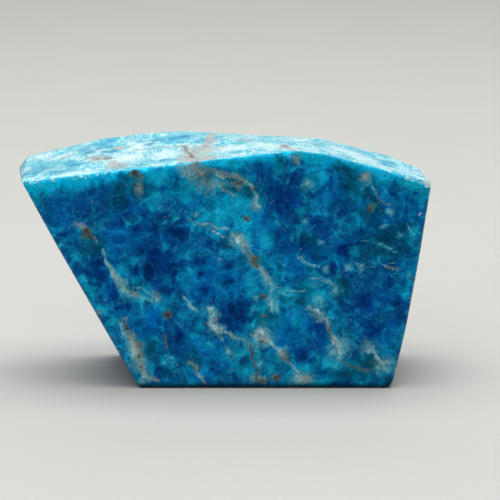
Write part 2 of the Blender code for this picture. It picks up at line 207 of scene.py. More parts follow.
# Marks in the stone, read from the photograph. A spot is its middle and two half sizes in pixels.
# A line is its points in pixels, each with the half width there in millimetres.
marks = dict(
    # broad royal blue and deep zones, whose borders the finer marks break up
    royal=dict(
        spots=[(237, 210, 9, 8),
               (150, 314, 14, 14),
               (142, 326, 24, 26), (214, 276, 30, 28), (205, 352, 28, 14), (292, 258, 18, 14),
               (122, 238, 26, 18), (286, 338, 20, 22), (60, 212, 16, 20), (330, 345, 14, 14), 
               (262, 222, 14, 12), (325, 158, 16, 7), (300, 320, 20, 16), (195, 190, 14, 12)],
    ),
    deep=dict(
        spots=[(158, 170, 6, 5), (331, 203, 6, 6), (174, 301, 7, 5), (165, 238, 6, 6), (396, 269, 6, 6),
               (354, 226, 8, 7), (338, 302, 7, 6), (263, 236, 5, 6), (54, 229, 6, 8),
               (308, 228, 8, 7), (347, 266, 6, 5), (358, 273, 7, 6), (419, 215, 6, 7), (292, 240, 8, 6), (276, 302, 5, 5),
               (359, 277, 8, 7), (268, 224, 8, 7), (290, 283, 7, 5), (120, 256, 8, 7), (354, 320, 8, 7), (330, 202, 8, 7), (409, 208, 6, 8), (341, 295, 7, 5), (339, 384, 8, 5), (279, 257, 7, 7),
               (366, 246, 30, 34), (336, 304, 9, 8), (336, 220, 9, 8), (111, 252, 8, 8), (176, 170, 9, 7), (190, 377, 7, 6), (291, 281, 8, 6), (370, 193, 7, 6), (184, 203, 8, 7), (104, 188, 10, 6), (124, 178, 10, 6), (396, 331, 7, 8), (289, 267, 8, 7), (291, 234, 8, 8), (166, 305, 8, 5),
               (182, 311, 11, 10), (277, 255, 12, 11), (265, 170, 9, 9), (53, 228, 9, 9), (109, 281, 8, 9), (341, 313, 10, 9), (97, 223, 9, 9), (344, 204, 14, 12),
               # this spot dims the painted light band below the top edge
               (158, 184, 22, 9),
               (155, 246, 34, 40), (278, 192, 26, 28), (108, 208, 38, 24), (92, 270, 22, 22), (233, 315, 20, 18),
               (306, 340, 18, 20), (378, 310, 28, 26), (345, 200, 24, 20), (396, 205, 18, 20),
               (178, 345, 16, 20), (318, 245, 24, 16), (70, 240, 14, 26), (392, 270, 18, 26), (182, 290, 14, 14),
               (262, 172, 12, 14), (280, 236, 15, 12),
               (104, 206, 14, 12), (408, 202, 9, 8), (297, 246, 12, 10), (370, 330, 16, 12)],
    ),
    # deep blue grains
    navy=dict(
        spots=[(181, 266, 7, 8), (159, 367, 6, 6), (115, 308, 4, 4), (126, 306, 4, 4), (242, 362, 5, 5),
               (126, 207, 13, 10), (66, 234, 7, 5), (85, 271, 8, 8), (96, 262, 9, 8),
               (102, 278, 8, 10), (113, 290, 8, 10), (150, 268, 15, 18), (143, 252, 9, 8), (155, 254, 10, 7),
               (148, 218, 11, 11), (154, 229, 12, 10), (161, 217, 10, 8), (176, 233, 16, 15), (137, 230, 8, 7),
               (173, 265, 8, 14), (120, 222, 8, 8), (134, 272, 7, 9), (166, 290, 10, 7),
               (197, 262, 9, 7), (204, 262, 6, 5), (229, 265, 6, 6), (219, 246, 5, 7), (234, 314, 20, 17),
               (181, 364, 6, 5), (179, 337, 7, 7), (200, 275, 6, 6), (230, 282, 6, 6), (285, 195, 17, 20),
               (290, 178, 6, 10), (393, 196, 7, 5), (345, 248, 9, 8), (302, 243, 10, 8),
               (334, 268, 6, 7), (364, 303, 10, 11), (341, 300, 5, 7), (399, 303, 7, 6), (375, 330, 10, 8),
               (396, 264, 6, 6), (305, 354, 9, 8), (315, 327, 9, 7), (205, 290, 7, 6),
               (388, 380, 8, 7), (360, 232, 8, 6), (315, 222, 8, 7)],
        lines=dict(
            grainRow=[(172, 255, 0.6), (174, 270, 1.0), (172, 282, 0.6)],
        ),
    ),
    # light cyan clouds
    cyan=dict(
        spots=[(136, 372, 6, 5), (75, 257, 5, 6), (373, 240, 6, 5), (252, 340, 6, 5),
               (222, 214, 24, 18),
               (263, 322, 6, 7), (307, 285, 8, 5), (279, 170, 7, 6), (164, 247, 5, 5), (143, 346, 4, 6), (275, 276, 5, 5), (100, 310, 7, 6), (248, 237, 7, 7),
               (308, 286, 14, 6), (186, 198, 7, 7), (158, 178, 18, 8), (322, 380, 14, 6), (83, 279, 6, 6), (133, 280, 6, 6), (298, 321, 7, 7), (258, 352, 5, 6),
               (72, 180, 34, 6), (243, 226, 11, 12), (302, 212, 7, 7), (92, 295, 7, 6), (313, 285, 9, 6), (261, 321, 6, 7), (312, 182, 8, 8), (355, 250, 7, 6), 
               (254, 292, 9, 9), (319, 177, 12, 8), (168, 361, 9, 8), (251, 282, 8, 9), (271, 369, 8, 8), (313, 284, 10, 7), (272, 322, 7, 8), (199, 327, 6, 6), (328, 366, 8, 8), (318, 298, 8, 8),
               (92, 288, 10, 5), (192, 335, 6, 5), (276, 306, 7, 8),
               (315, 299, 14, 14),
               (122, 271, 7, 8), 
               (306, 368, 9, 6), (333, 366, 10, 8), (318, 156, 26, 7), 
               (266, 240, 8, 14), (272, 292, 10, 16), (246, 372, 10, 8), 
               
               (322, 155, 26, 6), (386, 180, 16, 9), (230, 165, 20, 7), (240, 205, 20, 16),
               ],
    ),
    # green zones, stained by clay in the cracks; the spots just below the top edge also dim the painted light band
    # there
    green=dict(
        spots=[(388, 243, 32, 24), (287, 298, 9, 6), (258, 262, 6, 7), (369, 188, 8, 6), (250, 195, 7, 8), (247, 360, 7, 8), (339, 169, 8, 7), (229, 246, 8, 6), (127, 178, 9, 5), (368, 363, 12, 8), (232, 182, 12, 8),
               (297, 301, 9, 8), (236, 183, 15, 9),
               (94, 246, 13, 14), (248, 190, 12, 12), (136, 292, 10, 8), (352, 186, 14, 12),
               (300, 290, 12, 8), (375, 210, 14, 10), (118, 200, 14, 10), (270, 318, 8, 14),
               (190, 360, 12, 14), (310, 240, 10, 8), (388, 378, 12, 8), (150, 350, 8, 14), (340, 290, 12, 14),
               (236, 188, 12, 10), (350, 372, 24, 8), (138, 186, 12, 14), (120, 188, 9, 10),
               (284, 166, 8, 12), (350, 172, 14, 8), (262, 320, 8, 10), (300, 300, 12, 9), (206, 172, 22, 8)],
        lines=dict(
            fracture=[(338, 160, 0.3), (345, 170, 0.8), (352, 181, 1.0), (361, 191, 1.3), (371, 198, 1.2),
                      (379, 206, 0.9), (386, 214, 0.5)],
            leftVeinTop=[(86, 232, 1.2), (94, 242, 1.4), (101, 252, 1.0)],
        ),
    ),
    # painted light: green-blue light below the broken ends of the top edge
    fringeLight=dict(
        lines=dict(
            left=[(22, 188, 0.7), (34, 186, 0.9), (46, 186, 0.6), (56, 184, 0.3)],
            right=[(396, 178, 0.4), (408, 184, 1.2), (420, 189, 1.2), (432, 196, 1.0)],
        ),
        spots=[(310, 152, 14, 4), (200, 186, 30, 12)],
    ),
    # thin clouds of clay
    haze=dict(
        lines=dict(
            fan=[(188, 162, 2.6), (200, 172, 3.4), (210, 184, 2.8), (219, 197, 1.2)],
            fanArm=[(204, 168, 0.7), (218, 174, 0.8), (236, 177, 0.8), (247, 182, 0.7)],
            fanStrands=[(214, 178, 0.5), (224, 188, 0.6), (234, 198, 0.4)],
            lowerLeft=[(122, 322, 0.9), (129, 335, 1.3), (136, 352, 1.9), (146, 374, 1.6)],
        ),
        spots=[(188, 173, 8, 6),
               (283, 356, 6, 8), (299, 377, 9, 6), (203, 181, 12, 12), (238, 184, 9, 7),
               (139, 186, 5, 12), (258, 378, 10, 6),
               (296, 158, 5, 9), (190, 168, 14, 9), (200, 174, 14, 12), (210, 186, 10, 13),
               
               (238, 240, 9, 8), (341, 347, 11, 12), (265, 337, 12, 12), (125, 290, 8, 11), (139, 362, 9, 16),
               (366, 177, 8, 7), (308, 184, 7, 7), (213, 318, 7, 14), (370, 348, 12, 8),
               (384, 366, 12, 11), (155, 298, 8, 7), (255, 203, 5, 10), (248, 343, 8, 7),
               (190, 362, 7, 6), (316, 312, 10, 7)],
    ),
    # cream and tan veins
    cream=dict(
        spots=[(384, 366, 6, 6),
               (262, 337, 8, 6), (221, 328, 4, 3), (213, 318, 4, 8), (307, 379, 7, 4),
               (331, 353, 4, 5), (212, 325, 4, 4), (249, 343, 4, 3),
               (227, 349, 3, 5), (252, 344, 3, 3), (143, 382, 5, 3),
               (258, 378, 8, 5), (301, 379, 9, 6), (258, 336, 6, 6), (156, 298, 2, 3),
               (125, 289, 6, 9), 
               (146, 377, 8, 6), (127, 362, 3, 2), (197, 214, 4, 3), (239, 239, 5, 6), (268, 278, 4, 6),
               (273, 304, 3, 4), (259, 309, 2, 2), (264, 336, 7, 7), (279, 352, 3, 4), 
               (214, 326, 4, 4), (229, 352, 4, 4), (189, 362, 4, 4), (319, 312, 9, 6), (338, 347, 8, 12),
               (366, 177, 6, 5), (391, 213, 3, 3),
               (370, 350, 6, 4), (376, 366, 3, 3), (301, 259, 2, 4),
               (410, 275, 3, 3), (410, 299, 2, 3), (256, 199, 3, 6), (352, 370, 3, 2),
               (306, 377, 7, 6)],
        lines=dict(
            leftUpper=[(103, 250, 0.3), (107, 262, 0.5), (112, 273, 0.6), (119, 281, 0.8), (126, 290, 1.0),
                       (132, 297, 0.3)],
            leftBranch=[(132, 286, 0.2), (141, 289, 0.3), (149, 292, 0.25), (157, 298, 0.35), (160, 303, 0.2)],
            lowerLeft=[(118, 321, 0.3), (122, 330, 0.5), (126, 338, 0.9), (133, 346, 1.2), (134, 356, 0.9)],
            lowerLeftFoot=[(138, 360, 0.3), (141, 369, 0.4), (147, 375, 0.5), (157, 381, 0.4)],
            fanUpper=[(206, 168, 0.2), (214, 173, 0.3), (222, 178, 0.3), (228, 182, 0.15)],
            fanLower=[(244, 180, 0.2), (251, 184, 0.35), (255, 194, 0.4), (257, 206, 0.3)],
            pink=[(197, 223, 0.2), (205, 224, 0.3), (216, 227, 0.35), (230, 228, 0.3)],
            pinkLower=[(204, 228, 0.15), (213, 231, 0.25), (225, 237, 0.2), (233, 240, 0.3)],
            middle=[(233, 235, 0.6), (240, 240, 0.9), (246, 250, 0.6), (254, 261, 0.6), (260, 270, 0.6),
                    (268, 279, 0.9), (271, 287, 0.4)],
            middleLower=[(270, 296, 0.25), (273, 304, 0.5), (273, 310, 0.2)],
            middleFoot=[(258, 330, 0.3), (264, 335, 0.8), (270, 341, 0.6), (275, 347, 0.2), (281, 353, 0.45),
                        (287, 362, 0.4), (294, 370, 0.5), (300, 378, 0.6), (306, 384, 0.4)],
            centreLeft=[(208, 306, 0.4), (211, 316, 0.8), (213, 326, 0.9), (219, 334, 0.6), (222, 342, 0.3)],
            centreBranch=[(219, 330, 0.3), (226, 332, 0.4), (234, 336, 0.5), (246, 341, 0.4), (252, 348, 0.3)],
            smallLeft=[(184, 297, 0.3), (190, 306, 0.5), (195, 311, 0.4), (201, 315, 0.2)],
            baseLeft=[(195, 364, 0.5), (199, 375, 0.4), (203, 382, 0.4), (207, 386, 0.3)],
            rightLower=[(308, 308, 0.4), (317, 312, 0.9), (326, 318, 0.6), (330, 330, 0.3), (335, 340, 1.1),
                        (338, 350, 1.6), (341, 360, 0.6)],
            corner=[(367, 349, 0.3), (374, 354, 0.3), (382, 363, 0.6), (389, 371, 0.5)],
        ),
    ),
    # warm clay in the veins
    clay=dict(
        spots=[(294, 155, 7, 5),
               (264.5, 295.5, 4, 3), (265, 315, 3, 2.5),
               (98, 314, 3, 3),
               (79, 225, 5, 4), (366, 177, 6, 5), (196, 368, 5, 5), (264, 339, 6, 4), (261, 381, 8, 4),
               (275, 378, 7, 5), (245, 246, 4, 5), (320, 318, 6, 5), (216, 320, 3, 6), (284, 358, 6, 6),
               (304, 378, 6, 5), (112, 163, 5, 5), (297, 157, 4, 6)],
        lines=dict(
            leftStart=[(75, 222, 0.5), (82, 227, 0.8), (90, 233, 0.6), (97, 242, 0.4)],
            leftVein=[(104, 254, 0.15), (111, 270, 0.3), (122, 287, 0.7), (140, 297, 0.3)],
            lowerLeft=[(127, 318, 0.5), (127, 332, 0.8), (130, 341, 0.8), (138, 347, 1.1), (139, 357, 1.1),
                       (142, 367, 0.8), (150, 377, 0.7), (158, 381, 0.7)],
            topSpot=[(130, 171, 0.6), (137, 177, 0.9), (142, 187, 0.4), (144, 196, 0.2)],
            fan=[(197, 168, 0.5), (203, 177, 0.7), (208, 187, 0.3)],
            fanArm=[(220, 176, 0.35), (236, 177.5, 0.4), (246, 181, 0.35)],
            pink=[(194, 222, 0.25), (206, 225, 0.25), (222, 228, 0.15)],
            middle=[(238, 236, 0.4), (243, 246, 0.5), (252, 259, 0.6), (259, 268, 0.5), (266, 277, 0.3)],
            centre=[(222, 331, 0.2), (237, 336, 0.3), (250, 345, 0.3), (254, 357, 0.25), (257, 376, 0.25)],
            smallLeft=[(166, 336, 0.4), (165, 342, 0.45), (165, 349, 0.35)],
            baseLeft=[(192, 362, 0.4), (199, 374, 0.3), (206, 385, 0.3)],
            rightLower=[(314, 312, 0.4), (326, 322, 0.5), (331, 332, 0.5), (336, 352, 0.3), (342, 361, 0.25)],
            tanChain=[(376, 194, 0.3), (381, 200, 0.5), (384, 204, 0.2), (390, 206, 0.4)],
            rightThreads=[(376, 262, 0.2), (388, 268, 0.3), (402, 270, 0.2)],
        ),
    ),
    # pale cyan wisps and threads
    pale=dict(
        spots=[
               (391, 213, 4, 4),
               (315, 285, 7, 4), (257, 299, 4, 5), (130, 366, 4, 6),
               (281, 354, 6, 6),
               (266, 345, 6, 5), (252, 344, 4, 4), (143, 384, 7, 3),
               (331, 352, 8, 12), (320, 305, 9, 8), (210, 311, 8, 9), (257, 347, 6, 6), (170, 358, 4, 4), (165, 364, 3, 3), (257, 336, 7, 7),
               
               (306, 221, 4, 4), (322, 242, 5, 3), (384, 226, 6, 3), (400, 235, 5, 4), (380, 244, 6, 3),
               (362, 269, 4, 6), (348, 267, 6, 4), (326, 270, 4, 6), (308, 184, 7, 6), (318, 300, 10, 9),
               (272, 288, 6, 12), (278, 306, 5, 6), (335, 290, 8, 6), 
               (248, 246, 8, 10), 
               (390, 368, 8, 8), (300, 380, 12, 5), (341, 352, 11, 16), (262, 336, 12, 10), (260, 365, 6, 8)],
        lines=dict(
            threadA=[(310, 279, 0.4), (318, 279, 0.6), (326, 281, 0.6), (336, 286, 0.4)],
            threadB=[(275, 287, 0.3), (284, 288, 0.35), (292, 290, 0.4), (305, 291, 0.3)],
            threadC=[(302, 262, 0.4), (310, 265, 0.5), (320, 267, 0.4)],
            threadD=[(280, 292, 0.3), (290, 294, 0.3)],
            forkA=[(372, 180, 0.3), (362, 190, 0.3)],
            forkB=[(370, 181, 0.3), (375, 190, 0.3), (378, 197, 0.3)],
            edgeStreak=[(407, 222, 0.3), (411, 231, 0.5), (413, 236, 0.3)],
            chain=[(360, 240, 0.15), (378, 243, 0.3), (384, 246, 0.35), (396, 252, 0.15)],
            chainFoot=[(352, 262, 0.15), (366, 268, 0.3), (384, 266, 0.2), (404, 262, 0.15)],
            rightTan=[(377, 262, 0.2), (385, 267, 0.2), (400, 271, 0.15)],
            veinHaloA=[(104, 252, 0.3), (111, 272, 0.8), (124, 292, 1.6), (150, 300, 0.6)],
            veinHaloB=[(118, 318, 0.6), (130, 345, 2.0), (144, 374, 1.6)],
            veinHaloC=[(236, 238, 1.6), (256, 264, 1.0), (272, 286, 1.6), (272, 306, 1.2)],
        ),
    ),
    # olive clay in thin cracks
    olive=dict(
        lines=dict(
            footThread=[(341, 361, 0.5), (347, 365, 0.5), (356, 367, 0.45), (366, 369, 0.4), (379, 371, 0.3)],
            middleFoot=[(284, 357, 0.3), (288, 361, 0.5), (291, 366, 0.3)],
            smallLeft=[(166, 334, 0.4), (166, 342, 0.5), (165, 349, 0.4)],
        ),
        spots=[(138, 347, 3, 3), (219, 335, 4, 3), (231, 357, 4, 2), (276, 379, 5, 4), (166, 314, 6, 5), (374, 363, 5, 3),
               (262, 381, 6, 3), (136, 175, 8, 4), (373, 206, 5, 5), (126, 326, 3, 4), (265, 315, 3, 3), (265, 296, 4, 4),
               (256, 262, 5, 7), (246, 219, 4, 3), (192, 220, 4, 2), (86, 234, 6, 7)],
    ),
    # rust and dark clay
    rust=dict(
        spots=[(246, 220, 2, 2),
               (330.5, 335, 2, 4), (240, 182, 5, 3),
               (86, 231, 4, 4), (166, 314, 4, 4), (99, 317, 2, 2), (112, 338, 2, 2),
               (127, 326, 2, 3), (139, 356, 2, 3), (142, 366, 2, 2), (136, 174, 5, 4), 
               (253, 188, 2, 3), (255, 261, 4, 5), (265, 296, 3, 2), (266, 315, 2, 2),
               (261, 341, 3, 2), (205, 325, 2, 2), (220, 336, 2, 3), (231, 356, 2, 2), (262, 382, 4, 2),
               (276, 379, 4, 3), (371, 209, 3, 3),
               (380, 201, 2, 2), (414, 279, 2, 1.5), (282, 358, 2, 2)],
        lines=dict(
            leftStart=[(82, 227, 0.2), (87, 232, 0.7), (91, 238, 0.4)],
            fanLine=[(206, 169, 0.12), (214, 173, 0.15), (224, 177, 0.1)],
            footLine=[(250, 345, 0.24), (253, 354, 0.32), (255, 366, 0.3), (257, 380, 0.26)],
            greenLine=[(380, 266, 0.12), (400, 270, 0.1)],
            middleCore=[(244, 247, 0.2), (252, 258, 0.35), (258, 266, 0.3)],
        ),
    ),
    # specks and threads of red clay
    red=dict(
        spots=[(252.5, 188, 1.6, 2.2),
               (318.5, 315.5, 2, 1.6), (330, 329, 2.4, 4), (331, 335, 1.6, 3), (262, 382, 3, 1.4), (196, 162, 3, 1.6)],
        lines=dict(
            fanLine=[(191, 159, 0.4), (197, 163, 0.5), (203, 168, 0.46), (208, 172, 0.36)],
            fanArm=[(225, 177, 0.16), (231, 177.5, 0.16)],
        ),
    ),
    # white crystals in the clay and pale frosted crumbs along the top edge
    white=dict(
        spots=[(213, 326, 5, 4), (262, 333, 4, 3), (211, 308, 3, 3),
               (227, 352, 2.4, 3), (332, 343, 2, 3),
               
               
               (238, 240, 3, 4), (262, 332, 4, 4), (298, 258, 2, 3),
               (316, 310, 4, 2)],
        lines=dict(
            topTip=[(26, 178, 0.4), (34, 179, 0.4)],
        ),
    ),
    # the top's own marks: cyan windows, milky frost, tan streaks, dark lenses and specks of rust
    topCyan=dict(
        spots=[(42, 168, 20, 6), (84, 150, 12, 5), (100, 145, 13, 4), (110, 141, 10, 3), (60, 172, 22, 4),
               (178, 138, 18, 4), (310, 141, 9, 3), (385, 163, 14, 4), (166, 160, 12, 3), (236, 152, 10, 2),
               (150, 148, 8, 2), (205, 140, 10, 3), (75, 165, 14, 3)],
    ),
    topMilk=dict(
        spots=[(272, 146, 12, 5),
               (128, 158, 22, 7), (165, 155, 22, 5), (139, 146, 14, 8), (225, 149, 24, 4), (282, 146, 16, 4),
               (60, 157, 14, 3), (346, 151, 20, 4), (262, 145, 18, 4), (362, 158, 20, 4), (24, 170, 6, 12),
               (80, 173, 24, 3), (45, 156, 12, 4), (300, 140, 16, 3)],
    ),
    topTan=dict(
        spots=[(292, 151, 8, 4),
               (284, 148, 10, 3.5), (192, 157, 15, 5), (207, 158, 12, 4),
               (97, 158, 16, 3.5), (118, 166, 12, 3), (200, 150, 20, 7), (212, 139, 6, 5), (120, 148, 11, 2),
               (245, 140, 9, 2), (192, 160, 14, 4), (65, 157, 7, 1.5), (292, 150, 5, 4)],
        lines=dict(
            spotAbove=[(112, 162, 0.9), (122, 166, 0.9), (131, 169, 0.9), (137, 173, 0.6)],
            fanAbove=[(184, 146, 1.2), (190, 154, 1.2), (197, 161, 1.0), (202, 166, 0.6)],
            bandAbove=[(214, 134, 1.0), (208, 142, 1.0), (204, 150, 0.8)],
            longStreak=[(136, 150, 0.5), (160, 148, 0.5), (182, 146, 0.5)],
        ),
    ),
    topDark=dict(
        spots=[(150, 144, 6, 1.6), (140, 142, 5, 1.4),
               (156, 140.5, 7, 1.5), (186, 136, 9, 1.8), (172, 139, 6, 1.2), (107, 152, 6, 2), (99, 149, 5, 1.5),
               (90, 152, 5, 1.5), (163, 160, 5, 1.2), (182, 163, 4, 1), (115, 151, 5, 2), (26, 174, 4, 1.5),
               (36, 173, 5, 1), (54, 171, 5, 1.2), (74, 165, 5, 1.2), (392, 163, 5, 1.5), (318, 145, 6, 1)],
    ),
    topRust=dict(
        spots=[(284, 146, 5, 2.2),
               (108, 158.5, 6, 1.5), (97, 159, 4, 1.2)],
        lines=dict(
            fanCore=[(183, 146, 0.4), (188, 152, 0.5), (193, 158, 0.5), (199, 164, 0.4)],
            spotCore=[(126, 168, 0.3), (135, 172, 0.4)],
            apexTail=[(284, 146, 0.3), (289, 148, 0.3), (293, 152, 0.3)],
        ),
    ),
    # painted highlights: where tiny crystal faces glint
    paintedGlint=dict(
        spots=[(132, 265, 3, 3), (356, 286, 9, 6), (313, 252, 3, 3), (349, 320, 5, 5), (247, 318, 3, 3),
               (394, 275, 5, 4), (382, 280, 4, 3), (334, 223, 4, 4), (341, 231, 5, 4), (213, 326, 4, 3),
               (276, 204, 5, 3), (300, 254, 4, 4), (345, 267, 4, 4), (380, 213, 4, 3), (328, 340, 4, 6),
               (240, 360, 4, 5), (104, 300, 4, 3), (183, 245, 4, 3), (45, 178, 24, 5)],
    ),
)

depthShift = dict(
    front=(-0.25, 0.5),    # how far a front mark moves across and up for each millimetre into the stone
    top=(-0.1, -1.0),     # how far a top mark moves across and back for each millimetre down
    wander=0.22,           # how much it wanders, as a share of the depth
    wanderSize=14.0,
    ripples=((2.4, 0.6), (1.0, 0.3)),   # size of the unevenness in every mark's outline, and how far it moves it
    seed=4,
)
noise.seed_set(depthShift["seed"])


def pixelRay(px, py):
    focal = view["lens"] / view["sensor"] * view["pixels"]
    across = (px - view["pixels"] / 2) / focal
    up = (view["pixels"] / 2 - py) / focal
    along = Vector((across, up * math.sin(tilt) + math.cos(tilt), up * math.cos(tilt) - math.sin(tilt)))
    return camera.location / mm, along.normalized()


def onStone(px, py):
    start, along = pixelRay(px, py)
    hit, normal = solid.ray_cast(start, along)[:2]
    if hit is None:  # just off the outline: taken to be on the front
        hit = start + along * ((frontY - start.y) / along.y)
        normal = Vector((0, -1, 0))
    return hit, normal


def onSide(px, py):
    # which side a pixel falls on, its place there, and the millimetres that a pixel covers both ways
    hit, normal = onStone(px, py)
    scale = view["lens"] / view["sensor"] * view["pixels"] / (camera.location / mm - hit).length
    if normal.z > 0.6:
        lean = max(-0.08, min(0.1, -normal.y / normal.z))
        return "top", (hit.x, hit.y), (1 / scale, 1 / (scale * (math.sin(tilt) + lean * math.cos(tilt))))
    across, up = depthShift["front"]
    behind = hit.y - frontY
    return "front", (hit.x + across * behind, hit.z + up * behind), (1 / scale, 1 / (scale * math.cos(tilt)))


def driftAt(size, seed):
    found = [noise.noise_vector(Vector(place) / size + Vector((seed, 0, 0))) for place in places]
    return np.array(found)[:, :2]


def sidePlaces():
    sides = {}
    for side, axes, depth, seed in (("front", (0, 2), places[:, 1] - frontY, 0), ("top", (0, 1), underTop, 50)):
        wander = driftAt(depthShift["wanderSize"], seed) * (depthShift["wander"] * depth)[:, None]
        ripple = sum(driftAt(size, seed + 20) * reach for size, reach in depthShift["ripples"])
        sides[side] = places[:, axes] + np.outer(depth, depthShift[side]) + wander + ripple
    return sides


def gapToLine(points, line):
    # distance from each point to the line, in half widths
    gap = np.full(len(points), 9.0)
    for (start, startWidth), (end, endWidth) in zip(line, line[1:]):
        run = end - start
        share = np.clip((points - start) @ run / (run @ run), 0, 1)
        away = np.linalg.norm(points - start - share[:, None] * run, axis=1)
        gap = np.minimum(gap, away / (startWidth + share * (endWidth - startWidth)))
    return gap


def markField(kind, across):
    # 1 in the middle of a mark, 0 at its rim, and less outside
    field = np.full(len(places), -1.0)
    for px, py, halfWide, halfHigh in kind.get("spots", []):
        side, middle, perPixel = onSide(px, py)
        away = (across[side] - middle) / (halfWide * perPixel[0], halfHigh * perPixel[1])
        field = np.maximum(field, 1 - np.linalg.norm(away, axis=1))
    for name, line in kind.get("lines", {}).items():
        found = [(onSide(px, py), width) for px, py, width in line]
        side = found[0][0][0]
        points = [(np.array(spot[1]), width) for spot, width in found if spot[0] == side]
        field = np.maximum(field, 1 - gapToLine(across[side], points))
    return field


def keepField(mesh, name, values):
    mesh.attributes.new(name, "FLOAT", "POINT").data.foreach_set("value", values.astype(np.float32))


across = sidePlaces()
for name, kind in marks.items():
    keepField(stone.data, name, markField(kind, across))
frontEdge = smoothStep(frontY + 2.2, frontY + 1.2, places[:, 1]) * smoothStep(1.0, 0.3, underTop)
crumbly = frontEdge * np.interp(places[:, 0], *zip(*crumbledEdge)) * smoothStep(-0.25, 0.15, noiseAt(1.8, 61))
crumbly = np.maximum(crumbly, 0.08 * smoothStep(0.3, 0.9, crust))
keepField(stone.data, "crumbly", crumbly)
breakEdges()
print("edges broken")
keepField(stone.data, "underTop", underTop)
keepField(stone.data, "litDepth", underTop / np.interp(places[:, 0], *zip(*lightReach)))
keepField(stone.data, "topSide", topSide)
keepField(stone.data, "worn", worn)
keepField(stone.data, "crust", crust)
print("marks placed:", sum(len(k.get("spots", [])) + len(k.get("lines", {})) for k in marks.values()))

